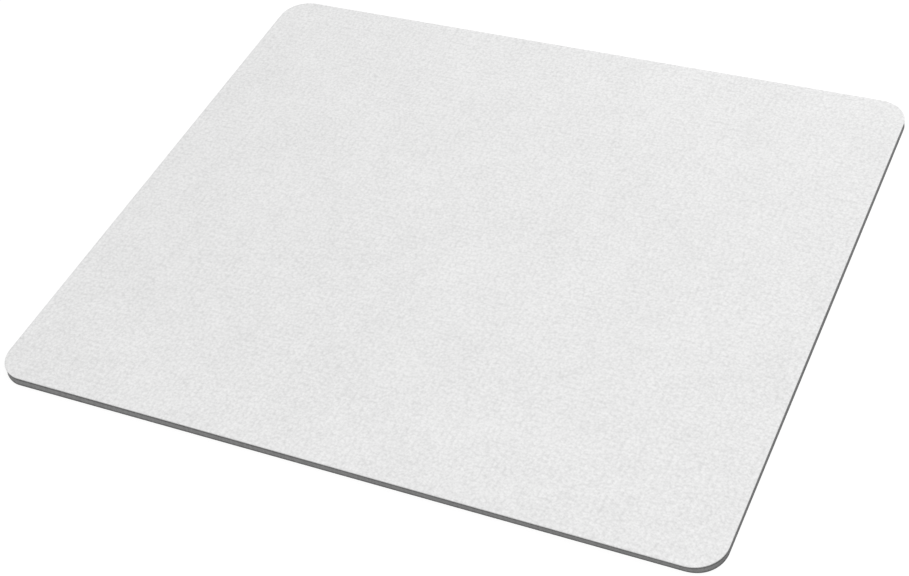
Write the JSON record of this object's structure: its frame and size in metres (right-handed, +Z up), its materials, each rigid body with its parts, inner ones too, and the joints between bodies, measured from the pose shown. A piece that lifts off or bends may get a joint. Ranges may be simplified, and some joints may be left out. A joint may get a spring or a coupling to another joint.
{
  "type": "mouse pad",
  "caption": "Thin flat oblong mouse pad with rounded corners: a white woven cloth face on a grey foamed rubber base with a zigzag anti-slip tread.",
  "frame": {"origin": "middle of the underside, on the desk's surface", "axes": "+X along the pad's longer side, to the right of whoever sits at it; +Y away from them; +Z up through the cloth"},
  "size_m": [0.24, 0.205, 0.003],
  "materials": {
    "woven_polyester": "matt white woven polyester with a fine even grain",
    "hot_melt_film": "milky hot-melt film, seen only as a hairline in the cut edge",
    "foamed_rubber": "matt mid-grey foamed rubber, fine-celled on the cut edge and skinned on the tread"
  },
  "bodies": {
    "root": {"cloth_face": "woven_polyester", "adhesive_film": "hot_melt_film", "rubber_base": "foamed_rubber"}
  },
  "joints": []
}
